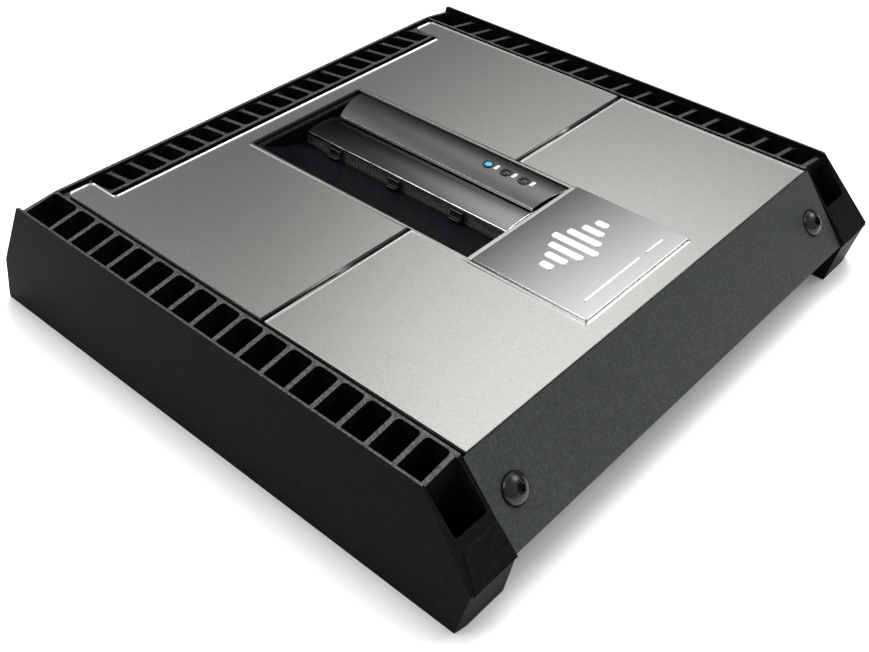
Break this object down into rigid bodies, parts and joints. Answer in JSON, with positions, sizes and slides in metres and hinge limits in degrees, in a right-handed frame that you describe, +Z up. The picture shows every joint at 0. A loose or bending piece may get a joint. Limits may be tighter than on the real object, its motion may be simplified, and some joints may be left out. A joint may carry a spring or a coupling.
{
  "type": "car amplifier",
  "caption": "Car audio power amplifier: finned black castings, bright top plate, louvred vent with status lights, and a lift-off trim cover over terminals and controls.",
  "frame": {"origin": "middle of the footprint, on the surface that the amplifier stands on", "axes": "+X across the amplifier, +Y from the wiring bay to the rear fins, +Z up"},
  "size_m": [0.3366, 0.3186, 0.0621],
  "materials": {
    "casting": "satin black powder coat on die-cast aluminium",
    "base": "satin black paint",
    "steel": "zinc plated",
    "cover": "fine bead-blasted, clear anodised",
    "badge": "satin, polished edge",
    "emblem": "bright satin",
    "gloss_black": "gloss",
    "blade": "smoked metallic gloss",
    "mesh": "fine woven wire, dark",
    "bezel": "satin black",
    "lit_lens": "translucent blue light pipe",
    "dark_lens": "smoked light pipe",
    "board": "green solder mask on glass laminate",
    "led": "clear epoxy",
    "matte_black": "moulded, fine texture",
    "trim": "dark grey anodised, fine grain",
    "black_screw": "black oxide steel",
    "panel": "satin black paint",
    "terminal_black": "moulded thermoset",
    "brass": "gold plated",
    "insulator": "moulded",
    "pot_body": "moulded",
    "knob": "moulded, satin",
    "lever": "moulded",
    "copper": "enamelled copper winding",
    "sleeve": "shrink sleeve on aluminium can",
    "chip": "moulded epoxy",
    "pad": "silicone pad",
    "bar": "as extruded"
  },
  "bodies": {
    "chassis": {"left_casting": "casting", "right_casting": "casting", "rear_casting": "casting", "base_plate": "base", "base_screws": "steel", "top_cover": "cover", "cover_nuts": "steel", "badge_plate": "badge", "badge_emblem": "emblem", "vent_insert": "gloss_black", "upper_blade": "blade", "lower_blade": "blade", "vent_mesh": "mesh", "mesh_clips": "gloss_black", "lens_bezels": "bezel", "power_lens": "lit_lens", "status_lenses": "dark_lens", "led_board": "board", "leds": "led", "fan_housings": "matte_black", "fan_screws": "steel", "trim_brackets": "base", "bracket_screws": "steel", "terminal_panel": "panel", "panel_screws": "steel", "power_block": "terminal_black", "power_set_screws": "brass", "speaker_block": "terminal_black", "speaker_set_screws": "brass", "rca_block": "matte_black", "rca_jacks": "brass", "rca_insulators": "insulator", "remote_jack": "matte_black", "control_board": "board", "potentiometers": "pot_body", "switch_bodies": "steel", "main_board": "board", "board_standoffs": "brass", "board_screws": "steel", "power_transformers": "copper", "transformer_clamps": "base", "rail_capacitors": "sleeve", "input_capacitors": "sleeve", "output_chokes": "copper", "power_transistors": "chip", "thermal_pads": "pad", "clamp_bars": "bar", "clamp_screws": "steel", "driver_chips": "chip"},
    "trim": {"trim_cover": "trim", "trim_screws": "black_screw"},
    "front_fan": {"front_fan_rotor": "matte_black"},
    "rear_fan": {"rear_fan_rotor": "matte_black"},
    "gain_a": {"gain_knob_a": "knob"},
    "gain_b": {"gain_knob_b": "knob"},
    "crossover": {"crossover_knob": "knob"},
    "bass": {"bass_knob": "knob"},
    "crossover_lever": {"crossover_switch": "lever"},
    "input_lever": {"input_switch": "lever"}
  },
  "joints": [
    {"name": "trim_removal", "type": "slide", "parent": "chassis", "child": "trim", "axis": [0, -0.7815, 0.6239], "range_m": [0, 0.06]},
    {"name": "front_fan_spin", "type": "hinge", "parent": "chassis", "child": "front_fan", "pos_m": [0.0185, 0.0048, 0.036], "axis": [0, 0, 1], "continuous": true},
    {"name": "rear_fan_spin", "type": "hinge", "parent": "chassis", "child": "rear_fan", "pos_m": [0.0185, 0.0548, 0.036], "axis": [0, 0, 1], "continuous": true},
    {"name": "gain_a_turn", "type": "hinge", "parent": "chassis", "child": "gain_a", "pos_m": [0.034, -0.12, 0.04205], "axis": [0, -1, 0], "range_deg": [-140, 140]},
    {"name": "gain_b_turn", "type": "hinge", "parent": "chassis", "child": "gain_b", "pos_m": [0.054, -0.12, 0.04205], "axis": [0, -1, 0], "range_deg": [-140, 140]},
    {"name": "crossover_turn", "type": "hinge", "parent": "chassis", "child": "crossover", "pos_m": [0.074, -0.12, 0.04205], "axis": [0, -1, 0], "range_deg": [-140, 140]},
    {"name": "bass_turn", "type": "hinge", "parent": "chassis", "child": "bass", "pos_m": [0.094, -0.12, 0.04205], "axis": [0, -1, 0], "range_deg": [-140, 140]},
    {"name": "crossover_slide", "type": "slide", "parent": "chassis", "child": "crossover_lever", "axis": [1, 0, 0], "range_m": [-0.0032, 0.0032]},
    {"name": "input_slide", "type": "slide", "parent": "chassis", "child": "input_lever", "axis": [1, 0, 0], "range_m": [0, 0.004]}
  ]
}
